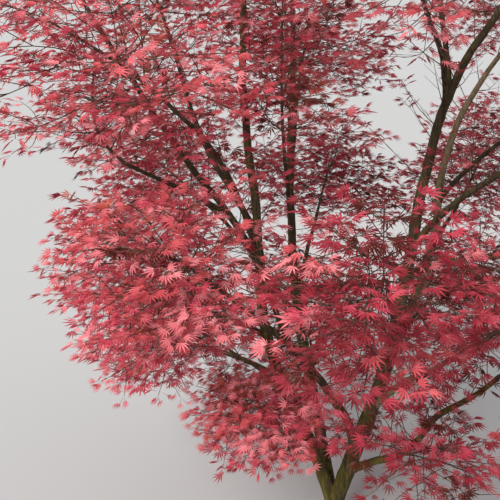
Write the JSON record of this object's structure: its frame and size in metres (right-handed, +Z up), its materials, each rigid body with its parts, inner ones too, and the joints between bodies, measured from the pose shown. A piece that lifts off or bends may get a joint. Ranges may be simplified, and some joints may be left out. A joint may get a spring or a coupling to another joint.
{
  "type": "japanese maple tree",
  "caption": "Young Japanese maple in spring leaf: upright stems from one root flare, arching boughs and a loose rounded crown of coral pink leaves.",
  "frame": {"origin": "centre of the flat cut under the trunk, at ground level", "axes": "+Z up the tree, -Y towards the viewer of the picture, +X to the viewer's right"},
  "size_m": [2.6436, 2.5912, 2.99],
  "materials": {
    "bark": "rough, with moss on the lower stems",
    "foliage": "matte, coral pink to crimson"
  },
  "bodies": {
    "root": {"trunk": "bark", "west_stem": "bark", "east_stem": "bark", "north_stem": "bark", "north_east_stem": "bark", "front_west_bough": "bark", "low_west_bough": "bark", "high_west_bough": "bark", "upper_west_bough": "bark", "mossy_bough": "bark", "low_east_bough": "bark", "front_bough": "bark", "west_bough": "bark", "middle_west_bough": "bark", "skirt_west_bough": "bark", "skirt_south_bough": "bark", "east_bough": "bark", "inner_bough": "bark", "far_east_bough": "bark", "south_east_bough": "bark", "skirt_north_east_bough": "bark", "skirt_north_bough": "bark", "skirt_north_west_bough": "bark", "back_bough": "bark", "back_west_bough": "bark", "back_east_bough": "bark", "high_back_bough": "bark", "south_west_bough": "bark", "centre_bough": "bark", "top_bough": "bark", "crown_west_foliage": "foliage", "crown_east_foliage": "foliage", "crown_north_east_foliage": "foliage", "crown_north_foliage": "foliage", "south_west_foliage": "foliage", "low_west_foliage": "foliage", "high_west_foliage": "foliage", "upper_west_foliage": "foliage", "south_low_east_foliage": "foliage", "low_east_foliage": "foliage", "front_foliage": "foliage", "west_foliage": "foliage", "middle_west_foliage": "foliage", "skirt_south_west_foliage": "foliage", "skirt_south_foliage": "foliage", "east_foliage": "foliage", "front_high_foliage": "foliage", "far_east_foliage": "foliage", "south_east_foliage": "foliage", "skirt_north_east_foliage": "foliage", "skirt_north_foliage": "foliage", "skirt_north_west_foliage": "foliage", "back_foliage": "foliage", "back_west_foliage": "foliage", "back_east_foliage": "foliage", "high_back_foliage": "foliage", "south_west_high_foliage": "foliage", "centre_foliage": "foliage", "top_foliage": "foliage"}
  },
  "joints": []
}
